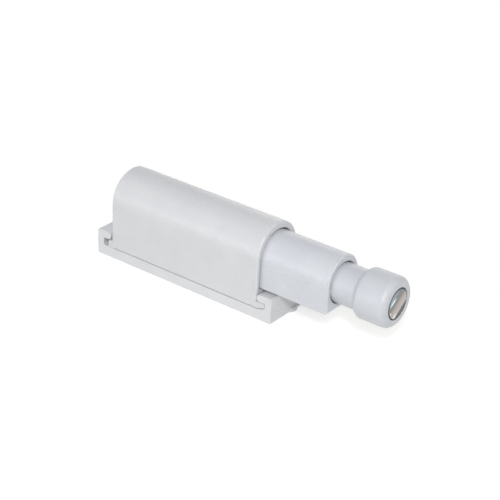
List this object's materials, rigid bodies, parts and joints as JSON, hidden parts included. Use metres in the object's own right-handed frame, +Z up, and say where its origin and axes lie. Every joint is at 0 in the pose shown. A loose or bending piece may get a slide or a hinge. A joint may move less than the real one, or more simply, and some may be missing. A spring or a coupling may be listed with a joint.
{
  "type": "push to open catch",
  "caption": "Telescopic push-to-open cabinet catch: D-section housing clipped to a screw-on base, with a sprung two-stage plunger and a magnet tip.",
  "frame": {"origin": "on the base plate's underside, midway between the two screw holes", "axes": "+X along the plungers, the way they come out; +Z up from the mounting surface; Y across"},
  "size_m": [0.0929, 0.017, 0.0248],
  "materials": {
    "moulding": "light cool grey moulded plastic with a fine spark-eroded grain",
    "plunger_moulding": "light blue-grey moulded plastic, satin",
    "nickel_plate": "bright nickel plating",
    "spring_steel": "drawn spring wire",
    "steel": "bright steel"
  },
  "bodies": {
    "body": {"base_plate": "moulding", "housing": "moulding", "underside_cover": "moulding", "leaf_spring": "spring_steel", "main_spring": "spring_steel"},
    "outer_stage": {"outer_plunger": "plunger_moulding", "stop_pin": "steel", "tip_spring": "spring_steel"},
    "inner_stage": {"inner_plunger": "plunger_moulding", "magnet": "nickel_plate", "backing_plate": "steel"},
    "follower": {"latch_follower": "spring_steel"}
  },
  "joints": [
    {"name": "plunger_slide", "type": "slide", "parent": "body", "child": "outer_stage", "axis": [1, 0, 0], "range_m": [-0.029, 0], "stiffness_N_per_m": 200, "springref_m": 0.005, "deforming": ["main_spring"]},
    {"name": "tip_slide", "type": "slide", "parent": "outer_stage", "child": "inner_stage", "axis": [1, 0, 0], "range_m": [-0.00635, 0], "stiffness_N_per_m": 150, "springref_m": 0.005, "deforming": ["tip_spring"]},
    {"name": "follower_swing", "type": "hinge", "parent": "body", "child": "follower", "pos_m": [-0.00979, 0, 0.00565], "axis": [0, 0, 1], "range_deg": [-19.6, 0]}
  ]
}
